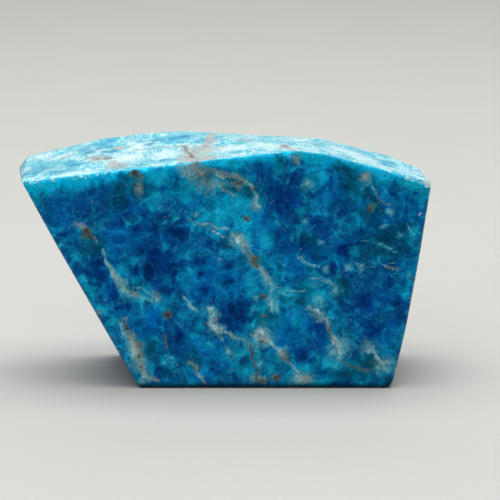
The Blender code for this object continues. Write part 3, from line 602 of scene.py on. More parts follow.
# Blue apatite, massive, sawn and polished. Deep blue grains stand in a milky blue-green matrix, crossed by
# fibres and by veins of grey clay. The front has a soft polish, the top is satin and looks pale, and chipped
# edges are frosted.
apatite = dict(
    bendSize=6.0, bendBy=3.0,
    noises=dict(   # size in mm, detail, roughness, distortion
        cloud=(7.0, 6.0, 0.68, 1.0),
        hue=(17.0, 2.0, 0.5, 0.4),
        patch=(4.0, 3.0, 0.6, 0.8),
        wisp=(2.4, 4.0, 0.7, 1.5),
        hair=(4.2, 3.0, 0.5, 1.2),
        fineHair=(1.9, 2.0, 0.55, 0.8),
        ragged=(1.3, 4.0, 0.7, 0.4),
        speck=(0.5, 3.0, 0.75, 0.4),
        fine=(0.36, 2.0, 0.7, 0.0),
    ),
    fibres=dict(   # length and width in mm, and the slope in degrees as seen from the front
        vein=(3.6, 0.6, -60),
        fibreUp=(3.4, 0.4, 48),
        fibreDown=(3.4, 0.4, -42),
        strand=(3.0, 0.24, -66),
        saw=(12.0, 0.35, 0),
    ),
    matrix=((0.34, "#004688"), (0.42, "#0066A2"), (0.49, "#0084B2"), (0.56, "#049AC0"), (0.65, "#22B6CA")),
    teal="#046480",
    grains=dict(   # size in mm, share of cells that are dark, strength, colour
        large=(5.4, 0.4, 0.72, "#002C7A"),
        pale=(3.8, 0.3, 0.4, "#0A90BC"),
        middle=(3.3, 0.42, 0.55, "#003684"),
        small=(2.1, 0.5, 0.5, "#003A7C"),
    ),
    crystal=dict(size=3.2, tone=0.16, across=0.42, along=4.2, streak=0.3, sugar=0.2,
                 mottle=0.5),
    fibreLight=dict(low=0.56, high=0.74, strength=0.5, colour="#26A2C2"),
    hairs=dict(hair=(0.018, 0.32), fineHair=(0.03, 0.22)),   # width and strength
    hairColour="#4CB0C8", wispColour="#1E9CBC",
    # painted light: colour and reach of the bright band painted below the top edge, where light enters the top
    paintedGlow=dict(colour="#00BAE8", full=1.0, end=5.3, across=0.8, along=5.0, strength=0.9),   # mm below the top edge
    layers=dict(   # what makes the rim of a mark uneven, and its colours and strengths from rim to middle
        royal=(dict(ragged=0.9, patch=1.6, fibreUp=0.8),
               ((0.42, "#006CB0", 0.0), (0.62, "#0068B0", 0.4), (0.9, "#0062AE", 0.6))),
        deep=(dict(ragged=0.9, patch=1.8, rim=0.4),
              ((0.40, "#004C94", 0.0), (0.6, "#004486", 0.4), (0.9, "#003A7A", 0.6))),
        navy=(dict(ragged=0.9, patch=0.5, rim=0.45),
              ((0.40, "#00488E", 0.0), (0.5, "#003A88", 0.4), (0.66, "#002C78", 0.6), (0.9, "#00225F", 0.85))),
        cyan=(dict(ragged=1.4, patch=1.4, fibreUp=0.6, rim=0.25),
              ((0.42, "#0486B4", 0.0), (0.6, "#049CC4", 0.45), (0.95, "#14B0D2", 0.8))),
        green=(dict(ragged=1.2, patch=1.4, fibreDown=1.0),
               ((0.42, "#066078", 0.0), (0.62, "#045066", 0.48), (0.9, "#023A4A", 0.76))),
        # painted light below the broken ends of the top edge
        fringeLight=(dict(ragged=1.2, patch=1.0, speck=0.8),
                ((0.42, "#0490AC", 0.0), (0.6, "#049CB8", 0.45), (0.9, "#18AECA", 0.75))),
        haze=(dict(ragged=1.2, patch=1.4, speck=0.8, strand=1.8, vein=0.5),
              ((0.44, "#2A8092", 0.0), (0.6, "#4A8890", 0.35), (0.78, "#6A8C8C", 0.55), (1.0, "#849288", 0.7))),
        pale=(dict(ragged=1.2, patch=1.4, speck=1.6, vein=0.8, fibreUp=1.0),
              ((0.42, "#1094B4", 0.0), (0.6, "#2CA0BC", 0.3), (0.8, "#54B0C4", 0.45), (1.0, "#88CAD4", 0.6))),
        cream=(dict(ragged=1.1, patch=1.4, speck=1.2, strand=0.7, vein=1.0),
               ((0.28, "#067094", 0.0), (0.44, "#2486A4", 0.3), (0.6, "#4E98AA", 0.5), (0.78, "#74A8B2", 0.7),
                (1.0, "#A0BEC0", 0.86))),
        clay=(dict(ragged=1.2, patch=1.8, speck=1.6, strand=0.8, vein=1.0),
              ((0.42, "#3A7884", 0.0), (0.56, "#587E82", 0.3), (0.75, "#748684", 0.5), (1.0, "#948A7E", 0.7))),
        olive=(dict(ragged=1.2, patch=1.0, speck=1.8),
               ((0.42, "#1E6E74", 0.0), (0.58, "#34686A", 0.4), (0.78, "#4A6660", 0.6), (1.0, "#5E6656", 0.75))),
        rust=(dict(ragged=1.6, patch=0.8, speck=2.4),
              ((0.42, "#50766E", 0.0), (0.56, "#505C50", 0.45), (0.74, "#484036", 0.7), (1.0, "#3A2C22", 0.88))),
        red=(dict(ragged=0.8, speck=1.4),
             ((0.46, "#7C8070", 0.0), (0.6, "#84604E", 0.6), (0.85, "#6A3430", 0.86))),
        white=(dict(ragged=1.2, patch=0.6, speck=2.2),
               ((0.52, "#8CC6D2", 0.0), (0.66, "#A8CCD4", 0.5), (0.9, "#CCE0E0", 0.76))),
    ),
    satin=((0.32, "#3496AC"), (0.43, "#5AAEBC"), (0.52, "#84BEC6"), (0.64, "#B0CCCC")),
    topLayers=dict(
        topCyan=(dict(ragged=1.0, patch=1.2, speck=0.8),
                 ((0.42, "#58AEBE", 0.0), (0.6, "#409EB4", 0.5), (0.9, "#2688A6", 0.82))),
        topMilk=(dict(ragged=1.2, patch=1.0, speck=1.4),
                 ((0.42, "#9CC6CE", 0.0), (0.62, "#B0CED2", 0.6), (0.9, "#C2D6D6", 0.88))),
        topTan=(dict(ragged=1.4, patch=1.2, speck=1.6),
                ((0.42, "#92A8A8", 0.0), (0.6, "#A09E90", 0.55), (0.95, "#A08C7C", 0.8))),
        topDark=(dict(ragged=1.2, patch=0.8, speck=1.2),
                 ((0.42, "#2C90A8", 0.0), (0.6, "#147C9E", 0.6), (0.95, "#0A6690", 0.88))),
        topRust=(dict(ragged=1.0, speck=2.0),
                 ((0.44, "#8C8674", 0.0), (0.6, "#7C6452", 0.6), (0.95, "#553828", 0.85))),
    ),
    # painted light: a pale cyan line painted just below the top edge
    edgeLight=dict(colour="#40D0EA", full=0.2, end=1.2, strength=0.4),   # mm below the top
    grit=dict(across=0.5, along=2.4, value=1.0),   # saw pits of the top
    cellDark=dict(depth=0.48, level=1.1),   # how much darker small grains are, and the level that keeps the mean
    frost=((0.28, "#0C86A8"), (0.42, "#3CB0C8"), (0.54, "#8CD6E2"), (0.7, "#E0F6FA")),
    crust=((0.3, "#1094A8"), (0.41, "#3CA4B8"), (0.49, "#84BAC6"), (0.57, "#B0C0CC"), (0.68, "#74988E")),
    crustTan=dict(colour="#C0B4A8", start=43.8, full=45.6, share=0.5),   # x in mm
    # painted light: the crust is painted paler where it hangs over the front
    crustPaintedLight=1.35,   # how much paler the crust is where it hangs over the front
    seam=dict(width=0.035, strength=0.22, colour="#1C9CC4"),   # between large grains
    # painted shade: the dark band painted along the base
    footShade=dict(dark=0.5, clear=1.7, strength=0.93, colour="#021A24"),   # mm above the base
    # painted highlights: the glints of tiny crystal faces
    paintedGlint=dict(size=0.55, width=0.26, share=0.4, colour="#6CC8E4"),
    ior=1.63, specular=0.25, specularTint="#3A78BC",
    scatter=0.2, scatterRadius=(0.25, 0.4, 0.45),
)


def setStops(node, stops):
    # stops are position and colour, and a strength where the colour is laid over another
    elements = node.color_ramp.elements
    while len(elements) < len(stops):
        elements.new(0.5)
    for element, (position, colour, *strength) in zip(elements, stops):
        element.position = position
        element.color = hexToLinear(colour, *strength)


def polishedApatite():
    look = apatite
    material = bpy.data.materials.new("blue apatite, sawn and polished")
    material.use_nodes = True
    tree = material.node_tree
    tree.nodes.clear()

    def add(kind, inputs=None, **settings):
        return addNode(tree, kind, inputs, **settings)

    place = add("ShaderNodeTexCoord").outputs["Object"]
    bend = add("ShaderNodeTexNoise", {"Vector": place, "Scale": 1 / (look["bendSize"] * mm), "Detail": 3.0})
    bend = add("ShaderNodeVectorMath", {0: bend.outputs["Color"], 1: (0.5, 0.5, 0.5)}, operation="SUBTRACT")
    bent = add("ShaderNodeVectorMath", {0: bend, 1: (look["bendBy"] * mm,) * 3, 2: place},
               operation="MULTIPLY_ADD")
    fields = {}
    for name, (size, detail, rough, distortion) in look["noises"].items():
        fields[name] = add("ShaderNodeTexNoise", {"Vector": bent, "Scale": 1 / (size * mm), "Detail": detail,
                                                  "Roughness": rough, "Distortion": distortion}, label=name)
    for name, (length, width, slope) in look["fibres"].items():
        turned = add("ShaderNodeVectorRotate", {"Vector": bent, "Angle": math.radians(slope)},
                     rotation_type="Y_AXIS")
        drawn = add("ShaderNodeVectorMath", {0: turned, 1: (width / length, 1.0, 1.0)}, operation="MULTIPLY")
        fields[name] = add("ShaderNodeTexNoise", {"Vector": drawn, "Scale": 1 / (width * mm), "Detail": 2.0,
                                                  "Distortion": 0.5}, label=name)
    uneven = {name: add("ShaderNodeMath", {0: field, 1: 0.5}, operation="SUBTRACT")
              for name, field in fields.items()}
    mark = {name: add("ShaderNodeAttribute", attribute_name=name).outputs["Fac"]
            for name in list(marks) + ["underTop", "litDepth", "topSide", "worn", "crust", "crumbly"]}

    # milky matrix, from royal blue to pale cyan, with green-blue areas
    shade = add("ShaderNodeValToRGB", {"Fac": fields["cloud"]})
    setStops(shade, look["matrix"])
    tealShare = add("ShaderNodeMapRange", {"Value": fields["hue"], "From Min": 0.47, "From Max": 0.66,
                                           "To Max": 0.6}, interpolation_type="SMOOTHSTEP")
    shade = add("ShaderNodeMix", {0: tealShare, 6: shade, 7: hexToLinear(look["teal"])}, data_type="RGBA")

    # grains: some cells of a bent cell pattern have another blue, and keep a lighter seam between them
    dark = None
    for name, (size, share, strength, colour) in look["grains"].items():
        cells = add("ShaderNodeTexVoronoi", {"Vector": bent, "Scale": 1 / (size * mm)})
        chosen = add("ShaderNodeSeparateColor", {"Color": cells.outputs["Color"]})
        chosen = add("ShaderNodeMapRange", {"Value": chosen.outputs["Red"], "From Min": share + 0.1,
                                            "From Max": share - 0.1, "To Max": strength})
        rim = add("ShaderNodeTexVoronoi", {"Vector": bent, "Scale": 1 / (size * mm)}, feature="DISTANCE_TO_EDGE")
        border = add("ShaderNodeMath", {0: uneven["ragged"], 1: 0.32, 2: rim}, operation="MULTIPLY_ADD")
        inside = add("ShaderNodeMapRange", {"Value": border, "From Min": 0.0, "From Max": 0.17},
                     interpolation_type="SMOOTHSTEP")
        if name == "large":
            seam = add("ShaderNodeMapRange", {"Value": rim, "From Min": look["seam"]["width"], "From Max": 0.0,
                                              "To Max": look["seam"]["strength"]})
        if name == "middle":
            uneven["rim"] = add("ShaderNodeMapRange", {"Value": inside, "To Min": -0.5, "To Max": 0.12})
        inside = add("ShaderNodeMath", {0: inside, 1: chosen}, operation="MULTIPLY")
        dark = add("ShaderNodeMath", {0: inside, 1: dark}, operation="MAXIMUM") if name == "small" else inside
        shade = add("ShaderNodeMix", {0: inside, 6: shade, 7: hexToLinear(colour)}, data_type="RGBA")

    # fibres, wisps and hairlines, paler than the matrix
    light = look["fibreLight"]
    fibre = add("ShaderNodeMath", {0: fields["fibreUp"], 1: fields["fibreDown"]}, operation="MAXIMUM")
    fibre = add("ShaderNodeMapRange", {"Value": fibre, "From Min": light["low"], "From Max": light["high"],
                                       "To Max": light["strength"]}, interpolation_type="SMOOTHSTEP")
    where = add("ShaderNodeMapRange", {"Value": fields["cloud"], "From Min": 0.42, "From Max": 0.58,
                                       "To Min": 0.25})
    fibre = add("ShaderNodeMath", {0: fibre, 1: where}, operation="MULTIPLY")
    shade = add("ShaderNodeMix", {0: fibre, 6: shade, 7: hexToLinear(light["colour"])}, data_type="RGBA")
    wisp = add("ShaderNodeMapRange", {"Value": fields["wisp"], "From Min": 0.54, "From Max": 0.72,
                                      "To Max": 0.45}, interpolation_type="SMOOTHSTEP")
    shade = add("ShaderNodeMix", {0: wisp, 6: shade, 7: hexToLinear(look["wispColour"])}, data_type="RGBA")
    for name, (width, strength) in look["hairs"].items():
        away = add("ShaderNodeMath", {0: uneven[name]}, operation="ABSOLUTE")
        hair = add("ShaderNodeMapRange", {"Value": away, "From Min": width, "From Max": 0.0},
                   interpolation_type="SMOOTHSTEP")
        where = add("ShaderNodeMapRange", {"Value": fields["wisp"], "From Min": 0.42, "From Max": 0.62,
                                           "To Max": strength})
        hair = add("ShaderNodeMath", {0: hair, 1: where}, operation="MULTIPLY")
        shade = add("ShaderNodeMix", {0: hair, 6: shade, 7: hexToLinear(look["hairColour"])}, data_type="RGBA")

    where = add("ShaderNodeMapRange", {"Value": fields["patch"], "From Min": 0.45, "From Max": 0.6})
    seam = add("ShaderNodeMath", {0: seam, 1: where}, operation="MULTIPLY")
    shade = add("ShaderNodeMix", {0: seam, 6: shade, 7: hexToLinear(look["seam"]["colour"])}, data_type="RGBA")

    # painted light: light that enters the top is painted as a bright, feathered band below its edge
    paintedGlow = look["paintedGlow"]
    plume = add("ShaderNodeVectorMath", {0: bent, 1: (1.0, 1.0, paintedGlow["across"] / paintedGlow["along"])},
                operation="MULTIPLY")
    plume = add("ShaderNodeTexNoise", {"Vector": plume, "Scale": 1 / (paintedGlow["across"] * mm), "Detail": 2.0})
    plume = add("ShaderNodeMath", {0: plume, 1: 0.5}, operation="SUBTRACT")
    paintedLightBand = add("ShaderNodeMath", {0: uneven["patch"], 1: -6.0, 2: mark["litDepth"]}, operation="MULTIPLY_ADD")
    paintedLightBand = add("ShaderNodeMath", {0: plume, 1: -4.0, 2: paintedLightBand}, operation="MULTIPLY_ADD")
    paintedLightBand = add("ShaderNodeMapRange", {"Value": paintedLightBand, "From Min": paintedGlow["end"], "From Max": paintedGlow["full"],
                                      "To Max": paintedGlow["strength"]}, interpolation_type="SMOOTHSTEP")
    side = add("ShaderNodeMath", {0: 1.0, 1: mark["topSide"]}, operation="SUBTRACT")
    paintedLightBand = add("ShaderNodeMath", {0: paintedLightBand, 1: side}, operation="MULTIPLY")
    shade = add("ShaderNodeMix", {0: paintedLightBand, 6: shade, 7: hexToLinear(paintedGlow["colour"])}, data_type="RGBA")

    # painted light: a pale cyan line painted just below the top edge
    edge = look["edgeLight"]
    edge = add("ShaderNodeMapRange", {"Value": mark["underTop"], "From Min": edge["end"],
                                      "From Max": edge["full"], "To Max": edge["strength"]})
    shade = add("ShaderNodeMix", {0: edge, 6: shade, 7: hexToLinear(look["edgeLight"]["colour"])},
                data_type="RGBA")

    # marks, each with an uneven rim
    def layMarks(shade, layers):
        covers = {}
        for name, (rims, stops) in layers.items():
            edge = mark[name]
            for field, amount in rims.items():
                edge = add("ShaderNodeMath", {0: uneven[field], 1: amount, 2: edge}, operation="MULTIPLY_ADD")
            edge = add("ShaderNodeMapRange", {"Value": edge, "From Min": -1.0})
            layer = add("ShaderNodeValToRGB", {"Fac": edge}, label=name)
            setStops(layer, stops)
            shade = add("ShaderNodeMix", {0: layer.outputs["Alpha"], 6: shade, 7: layer.outputs["Color"]},
                        data_type="RGBA")
            covers[name] = layer.outputs["Alpha"]
        return shade, covers

    shade, covers = layMarks(shade, look["layers"])

    # crystals: each cell has its own tone and its own direction of fine streaks, over a sugary fine grain
    crystal = look["crystal"]
    cells = add("ShaderNodeTexVoronoi", {"Vector": bent, "Scale": 1 / (crystal["size"] * mm)})
    cellTone = add("ShaderNodeSeparateColor", {"Color": cells.outputs["Color"]})
    cellTone = add("ShaderNodeMapRange", {"Value": cellTone.outputs["Green"], "To Min": 1 - crystal["tone"],
                                          "To Max": 1 + crystal["tone"]})
    turn = add("ShaderNodeVectorMath", {0: cells.outputs["Color"], "Scale": math.tau}, operation="SCALE")
    streak = add("ShaderNodeVectorRotate", {"Vector": bent, "Rotation": turn}, rotation_type="EULER_XYZ")
    streak = add("ShaderNodeVectorMath", {0: streak, 1: (1.0, crystal["across"] / crystal["along"], 1.0)},
                 operation="MULTIPLY")
    streak = add("ShaderNodeTexNoise", {"Vector": streak, "Scale": 1 / (crystal["across"] * mm), "Detail": 2.0})
    tone = add("ShaderNodeMapRange", {"Value": streak, "From Min": 0.3, "From Max": 0.7,
                                      "To Min": 1 - crystal["streak"], "To Max": 1 + crystal["streak"]})
    sugar = add("ShaderNodeMapRange", {"Value": fields["fine"], "From Min": 0.3, "From Max": 0.7,
                                       "To Min": 1 - crystal["sugar"], "To Max": 1 + crystal["sugar"]})
    smooth = add("ShaderNodeMapRange", {"Value": fields["wisp"], "From Min": 0.4, "From Max": 0.6,
                                        "To Min": 0.25, "To Max": 1.0})
    tone = add("ShaderNodeMath", {0: tone, 1: 1.0}, operation="SUBTRACT")
    tone = add("ShaderNodeMath", {0: tone, 1: smooth, 2: 1.0}, operation="MULTIPLY_ADD")
    tone = add("ShaderNodeMath", {0: uneven["ragged"], 1: crystal["mottle"], 2: tone}, operation="MULTIPLY_ADD")
    tone = add("ShaderNodeMath", {0: tone, 1: sugar}, operation="MULTIPLY")
    tone = add("ShaderNodeMath", {0: tone, 1: cellTone}, operation="MULTIPLY")
    # small grains are not darkened under cream veins or under the painted light band
    plain = add("ShaderNodeMath", {0: covers["cream"], 1: paintedLightBand}, operation="MAXIMUM")
    plain = add("ShaderNodeMath", {0: 1.0, 1: plain}, operation="SUBTRACT")
    cellDark = add("ShaderNodeMath", {0: dark, 1: plain}, operation="MULTIPLY")
    cellDark = add("ShaderNodeMath", {0: cellDark, 1: -look["cellDark"]["depth"],
                                      2: look["cellDark"]["level"]}, operation="MULTIPLY_ADD")
    tone = add("ShaderNodeMath", {0: tone, 1: cellDark}, operation="MULTIPLY")
    shade = add("ShaderNodeVectorMath", {0: shade, "Scale": tone}, operation="SCALE")

    # the satin top scatters light back: paler, with fine saw marks along it and marks of its own
    grit = look["grit"]
    pits = add("ShaderNodeVectorMath", {0: bent, 1: (1.0, grit["across"] / grit["along"], 1.0)},
               operation="MULTIPLY")
    pits = add("ShaderNodeTexNoise", {"Vector": pits, "Scale": 1 / (grit["across"] * mm), "Detail": 3.0,
                                      "Roughness": 0.7})
    pits = add("ShaderNodeMath", {0: pits, 1: 0.5}, operation="SUBTRACT")
    satin = add("ShaderNodeMath", {0: uneven["ragged"], 1: 0.7, 2: fields["cloud"]}, operation="MULTIPLY_ADD")
    satin = add("ShaderNodeMath", {0: pits, 1: 0.5, 2: satin}, operation="MULTIPLY_ADD")
    satin = add("ShaderNodeMath", {0: uneven["saw"], 1: 0.45, 2: satin}, operation="MULTIPLY_ADD")
    paleTop = add("ShaderNodeValToRGB", {"Fac": satin})
    setStops(paleTop, look["satin"])
    topShade, topCovers = layMarks(paleTop, look["topLayers"])
    share = add("ShaderNodeMapRange", {"Value": satin, "From Min": 0.3, "From Max": 0.55, "To Min": 0.75,
                                       "To Max": 0.96})
    share = add("ShaderNodeMath", {0: mark["topSide"], 1: share}, operation="MULTIPLY")
    grain = add("ShaderNodeMath", {0: uneven["ragged"], 1: 0.65, 2: 0.92}, operation="MULTIPLY_ADD")
    grain = add("ShaderNodeMath", {0: pits, 1: grit["value"], 2: grain}, operation="MULTIPLY_ADD")
    topShade = add("ShaderNodeVectorMath", {0: topShade, "Scale": grain}, operation="SCALE")
    shade = add("ShaderNodeMix", {0: share, 6: shade, 7: topShade}, data_type="RGBA")

    # painted highlights: tiny crystal faces drawn as bright dots where the marks say
    paintedGlint = look["paintedGlint"]
    cells = add("ShaderNodeTexVoronoi", {"Vector": place, "Scale": 1 / (paintedGlint["size"] * mm)})
    chosen = add("ShaderNodeSeparateColor", {"Color": cells.outputs["Color"]})
    chosen = add("ShaderNodeMath", {0: chosen.outputs["Red"], 1: paintedGlint["share"]}, operation="LESS_THAN")
    chosen = add("ShaderNodeMath", {0: chosen, 1: mark["paintedGlint"]}, operation="MULTIPLY")
    chosen = add("ShaderNodeMath", {0: chosen, 1: 0.1}, operation="GREATER_THAN")
    paintedSparkle = add("ShaderNodeMapRange", {"Value": cells.outputs["Distance"], "From Min": paintedGlint["width"],
                                       "From Max": 0.5 * paintedGlint["width"]})
    paintedSparkle = add("ShaderNodeMath", {0: paintedSparkle, 1: chosen}, operation="MULTIPLY")
    shade = add("ShaderNodeMix", {0: paintedSparkle, 6: shade, 7: hexToLinear(paintedGlint["colour"])}, data_type="RGBA")

    # chips are frosted, and the crust lies in patches of white, teal and green-grey that turn tan at its end
    sugary = add("ShaderNodeMath", {0: uneven["speck"], 1: 1.2, 2: fields["ragged"]}, operation="MULTIPLY_ADD")
    frostShade = add("ShaderNodeValToRGB", {"Fac": sugary})
    setStops(frostShade, look["frost"])
    patchy = add("ShaderNodeMath", {0: uneven["ragged"], 1: 0.5, 2: fields["wisp"]}, operation="MULTIPLY_ADD")
    patchy = add("ShaderNodeMath", {0: uneven["speck"], 1: 0.25, 2: patchy}, operation="MULTIPLY_ADD")
    crustShade = add("ShaderNodeValToRGB", {"Fac": patchy})
    setStops(crustShade, look["crust"])
    tan = look["crustTan"]
    tanShare = add("ShaderNodeMapRange", {"Value": add("ShaderNodeSeparateXYZ", {"Vector": place}),
                                          "From Min": tan["start"] * mm, "From Max": tan["full"] * mm,
                                          "To Max": tan["share"]})
    crustShade = add("ShaderNodeMix", {0: tanShare, 6: crustShade, 7: hexToLinear(tan["colour"])},
                     data_type="RGBA")
    # painted light: the crust is painted paler on the front and a little darker on the top
    crustPaintedLight = add("ShaderNodeMapRange", {"Value": mark["topSide"], "To Min": look["crustPaintedLight"], "To Max": 0.95})
    crustShade = add("ShaderNodeVectorMath", {0: crustShade, "Scale": crustPaintedLight}, operation="SCALE")
    frostShade = add("ShaderNodeMix", {0: mark["crust"], 6: frostShade, 7: crustShade}, data_type="RGBA")
    clean = add("ShaderNodeMapRange", {"Value": mark["crumbly"], "To Min": 0.55, "To Max": 1.0})
    frost = add("ShaderNodeMath", {0: mark["worn"], 1: clean}, operation="MULTIPLY")
    frost = add("ShaderNodeMath", {0: frost, 1: sugary}, operation="MULTIPLY")
    frost = add("ShaderNodeMapRange", {"Value": frost, "From Min": 0.44, "From Max": 0.62})
    crusty = add("ShaderNodeMath", {0: mark["crumbly"], 1: mark["crust"]}, operation="MAXIMUM")
    crusty = add("ShaderNodeMath", {0: uneven["ragged"], 1: 2.0, 2: crusty}, operation="MULTIPLY_ADD")
    crusty = add("ShaderNodeMapRange", {"Value": crusty, "From Min": 0.35, "From Max": 0.65})
    frost = add("ShaderNodeMath", {0: frost, 1: crusty}, operation="MAXIMUM")
    shade = add("ShaderNodeMix", {0: frost, 6: shade, 7: frostShade}, data_type="RGBA")

    # painted shade: the rounded lower edge is painted dark where it meets the floor
    footShade = look["footShade"]
    height = add("ShaderNodeSeparateXYZ", {"Vector": place}).outputs["Z"]
    height = add("ShaderNodeMath", {0: uneven["ragged"], 1: 0.8 * mm, 2: height}, operation="MULTIPLY_ADD")
    dark = add("ShaderNodeMapRange", {"Value": height, "From Min": footShade["clear"] * mm,
                                      "From Max": footShade["dark"] * mm, "To Max": footShade["strength"]})
    shade = add("ShaderNodeMix", {0: dark, 6: shade, 7: hexToLinear(footShade["colour"])}, data_type="RGBA")

    rough = add("ShaderNodeMapRange", {"Value": mark["topSide"], "To Min": 0.24, "To Max": 0.45})
    rough = add("ShaderNodeMath", {0: covers["cream"], 1: 0.2, 2: rough}, operation="MULTIPLY_ADD")
    rough = add("ShaderNodeMath", {0: frost, 1: 0.4, 2: rough}, operation="MULTIPLY_ADD")
    height = add("ShaderNodeMath", {0: uneven["saw"], 1: mark["topSide"], 2: fields["fine"]},
                 operation="MULTIPLY_ADD")
    bump = add("ShaderNodeBump", {"Height": height, "Strength": 0.25, "Distance": 0.08 * mm})
    shader = add("ShaderNodeBsdfPrincipled", {
        "Base Color": shade, "Roughness": rough, "IOR": look["ior"], "Normal": bump,
        "Specular IOR Level": look["specular"], "Specular Tint": hexToLinear(look["specularTint"]),
        "Subsurface Weight": look["scatter"], "Subsurface Radius": look["scatterRadius"],
        "Subsurface Scale": mm,
    })
    add("ShaderNodeOutputMaterial", {"Surface": shader})
    return material


stone.data.materials.clear()
stone.data.materials.append(polishedApatite())
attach(stone, "root")
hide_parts("blue_apatite")
print("stone finished")

# Loose-looking sugary grains of broken apatite, sunk by half into the crumbled edge and corner
crumbs = dict(
    perSquareMm=8.5,       # where the stone is wholly crumbled
    smallest=0.2, largest=0.55, thinnest=0.5, seed=7,
    colours=((0.3, "#14A0C4"), (0.42, "#54C8E2"), (0.52, "#A0E8F6"), (0.62, "#E0FAFF")),
    white="#DCE4E2", whiteStart=22.0, whiteFull=36.0,   # x in mm
    tan="#A89C84", tanStart=44.0, tanFull=45.4,
    patch=1.6,             # mm, so that neighbours share a colour
)


def frostedCrumbs():
    # apatite as it breaks: white to cyan sugary facets without polish
    material = bpy.data.materials.new("blue apatite, broken and frosted")
    material.use_nodes = True
    tree = material.node_tree
    tree.nodes.clear()

    def add(kind, inputs=None, **settings):
        return addNode(tree, kind, inputs, **settings)

    place = add("ShaderNodeTexCoord").outputs["Object"]
    tone = add("ShaderNodeTexNoise", {"Vector": place, "Scale": 1 / (crumbs["patch"] * mm), "Detail": 3.0,
                                      "Roughness": 0.65})
    shade = add("ShaderNodeValToRGB", {"Fac": tone})
    setStops(shade, crumbs["colours"])
    along = add("ShaderNodeSeparateXYZ", {"Vector": place})
    pale = add("ShaderNodeMapRange", {"Value": along, "From Min": crumbs["whiteStart"] * mm,
                                      "From Max": crumbs["whiteFull"] * mm})
    patchy = add("ShaderNodeMapRange", {"Value": tone, "From Min": 0.42, "From Max": 0.54, "To Min": 0.0,
                                        "To Max": 0.8})
    pale = add("ShaderNodeMath", {0: pale, 1: patchy}, operation="MULTIPLY")
    shade = add("ShaderNodeMix", {0: pale, 6: shade, 7: hexToLinear(crumbs["white"])}, data_type="RGBA")
    clay = add("ShaderNodeMapRange", {"Value": along, "From Min": crumbs["tanStart"] * mm,
                                      "From Max": crumbs["tanFull"] * mm, "To Max": 0.6})
    shade = add("ShaderNodeMix", {0: clay, 6: shade, 7: hexToLinear(crumbs["tan"])}, data_type="RGBA")
    fine = add("ShaderNodeTexNoise", {"Vector": place, "Scale": 1 / (0.15 * mm), "Detail": 2.0})
    rough = add("ShaderNodeMapRange", {"Value": fine, "To Min": 0.35, "To Max": 0.75})
    bump = add("ShaderNodeBump", {"Height": fine, "Strength": 0.4, "Distance": 0.05 * mm})
    shader = add("ShaderNodeBsdfPrincipled", {
        "Base Color": shade, "Roughness": rough, "IOR": 1.63, "Normal": bump, "Subsurface Weight": 0.3,
        "Subsurface Radius": (0.5, 0.6, 0.6), "Subsurface Scale": 0.5 * mm, "Specular IOR Level": 0.4,
    })
    add("ShaderNodeOutputMaterial", {"Surface": shader})
    return material


def crumbTree():
    tree = bpy.data.node_groups.new("grains on a crumbled surface", "GeometryNodeTree")
    tree.is_modifier = True
    sockets = (("Surface", "NodeSocketGeometry"), ("Grains per square metre", "NodeSocketFloat"),
               ("Smallest", "NodeSocketFloat"), ("Largest", "NodeSocketFloat"), ("Thinnest", "NodeSocketFloat"),
               ("Seed", "NodeSocketInt"), ("Material", "NodeSocketMaterial"))
    for name, kind in sockets:
        tree.interface.new_socket(name, in_out="INPUT", socket_type=kind)
    tree.interface.new_socket("Grains", in_out="OUTPUT", socket_type="NodeSocketGeometry")

    def add(kind, inputs=None, **settings):
        return addNode(tree, kind, inputs, **settings)

    given = add("NodeGroupInput").outputs
    crumbled = add("GeometryNodeInputNamedAttribute", {"Name": "crumbly"}, data_type="FLOAT")
    density = add("ShaderNodeMath", {0: crumbled, 1: given["Grains per square metre"]}, operation="MULTIPLY")
    points = add("GeometryNodeDistributePointsOnFaces", {"Mesh": given["Surface"], "Density": density,
                                                         "Seed": given["Seed"]})
    grain = add("GeometryNodeMeshIcoSphere", {"Radius": 0.5, "Subdivisions": 1})
    turn = add("FunctionNodeRandomValue", {"Min": (0, 0, 0), "Max": (math.tau,) * 3}, data_type="FLOAT_VECTOR")
    turn = add("FunctionNodeEulerToRotation", {"Euler": turn})
    size = add("FunctionNodeRandomValue", {2: given["Smallest"], 3: given["Largest"], "Seed": 3},
               data_type="FLOAT")
    thin = add("ShaderNodeCombineXYZ", {"X": given["Thinnest"], "Y": given["Thinnest"], "Z": given["Thinnest"]})
    form = add("FunctionNodeRandomValue", {0: thin, 1: (1, 1, 1), "Seed": 5}, data_type="FLOAT_VECTOR")
    form = add("ShaderNodeVectorMath", {0: form, "Scale": size}, operation="SCALE")
    placed = add("GeometryNodeInstanceOnPoints", {"Points": points, "Instance": grain, "Rotation": turn,
                                                  "Scale": form})
    real = add("GeometryNodeRealizeInstances", {"Geometry": placed})
    finished = add("GeometryNodeSetMaterial", {"Geometry": real, "Material": given["Material"]})
    add("NodeGroupOutput", {"Grains": finished})
    return tree


def crumbledGrains():
    grains = addObject("apatiteCrumbs", stone.data.copy())
    scatter = grains.modifiers.new("crumbs", "NODES")
    scatter.node_group = crumbTree()
    values = {"Grains per square metre": crumbs["perSquareMm"] / mm ** 2, "Smallest": crumbs["smallest"] * mm,
              "Largest": crumbs["largest"] * mm, "Thinnest": crumbs["thinnest"], "Seed": crumbs["seed"],
              "Material": frostedCrumbs()}
    for item in scatter.node_group.interface.items_tree:
        if item.name in values:
            scatter[item.identifier] = values[item.name]
    made = evaluatedMesh(grains)
    grains.modifiers.clear()
    grains.data = made
    made.name = "apatiteCrumbs"
    return grains


grains = crumbledGrains()
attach(grains, "root")
print("crumbs:", len(grains.data.polygons), "faces")

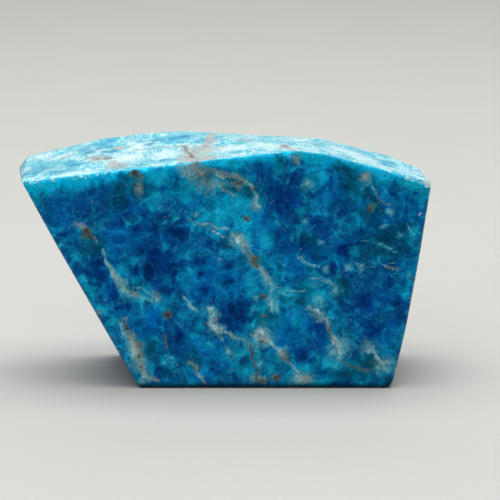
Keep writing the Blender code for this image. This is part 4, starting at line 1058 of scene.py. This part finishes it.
# A plain pale floor and soft studio light: a bright sky of softboxes overhead and behind, a weaker one in front
studio = dict(
    floorSize=6.0, floorColour="#ADADA9",
    floorCloud=40.0, floorGrain=0.9,   # mm
    sky=0.38,
    softboxes=dict(   # place and aim in metres, size in metres, power in watts
        overhead=dict(place=(0.0, 0.04, 0.9), aim=(0, 0, 0.02), size=(0.9, 0.7), power=11.0),
        behind=dict(place=(0.0, 1.0, 0.95), aim=(0, 0, 0.04), size=(1.2, 0.5), power=3.5),
        front=dict(place=(-0.3, -0.9, 0.8), aim=(0, 0, 0.03), size=(0.8, 0.8), power=3.3),
    ),
)


def palePlaster():
    # floated plaster: matt, faintly cloudy, with fine grains that catch the light
    material = bpy.data.materials.new("floated pale plaster")
    material.use_nodes = True
    tree = material.node_tree
    tree.nodes.clear()

    def add(kind, inputs=None, **settings):
        return addNode(tree, kind, inputs, **settings)

    place = add("ShaderNodeTexCoord").outputs["Object"]
    cloud = add("ShaderNodeTexNoise", {"Vector": place, "Scale": 1 / (studio["floorCloud"] * mm), "Detail": 4.0})
    grain = add("ShaderNodeTexNoise", {"Vector": place, "Scale": 1 / (studio["floorGrain"] * mm), "Detail": 3.0,
                                       "Roughness": 0.7})
    tone = add("ShaderNodeMath", {0: grain, 1: 0.16, 2: 0.92}, operation="MULTIPLY_ADD")
    tone = add("ShaderNodeMath", {0: cloud, 1: 0.06, 2: tone}, operation="MULTIPLY_ADD")
    shade = add("ShaderNodeVectorMath", {0: hexToLinear(studio["floorColour"])[:3], "Scale": tone},
                operation="SCALE")
    rough = add("ShaderNodeMapRange", {"Value": grain, "To Min": 0.75, "To Max": 0.95})
    bump = add("ShaderNodeBump", {"Height": grain, "Strength": 0.3, "Distance": 0.1 * mm})
    shader = add("ShaderNodeBsdfPrincipled", {"Base Color": shade, "Roughness": rough, "Normal": bump,
                                              "Specular IOR Level": 0.2})
    add("ShaderNodeOutputMaterial", {"Surface": shader})
    return material


def plainFloor():
    bm = bmesh.new()
    bmesh.ops.create_grid(bm, x_segments=1, y_segments=1, size=studio["floorSize"])
    mesh = bpy.data.meshes.new("floor")
    bm.to_mesh(mesh)
    bm.free()
    floor = addObject("floor", mesh)
    mesh.materials.append(palePlaster())


def softLight():
    world = bpy.data.worlds.new("studio")
    world.use_nodes = True
    world.node_tree.nodes["Background"].inputs["Color"].default_value = hexToLinear("#FFFFFF")
    world.node_tree.nodes["Background"].inputs["Strength"].default_value = studio["sky"]
    bpy.context.scene.world = world
    for name, box in studio["softboxes"].items():
        light = bpy.data.lights.new(name, "AREA")
        light.shape = "RECTANGLE"
        light.size, light.size_y = box["size"]
        light.energy = box["power"]
        made = addObject(name, light)
        made.location = box["place"]
        made.rotation_euler = (Vector(box["aim"]) - Vector(box["place"])).to_track_quat("-Z", "Y").to_euler()


plainFloor()
softLight()
print("floor and light set")
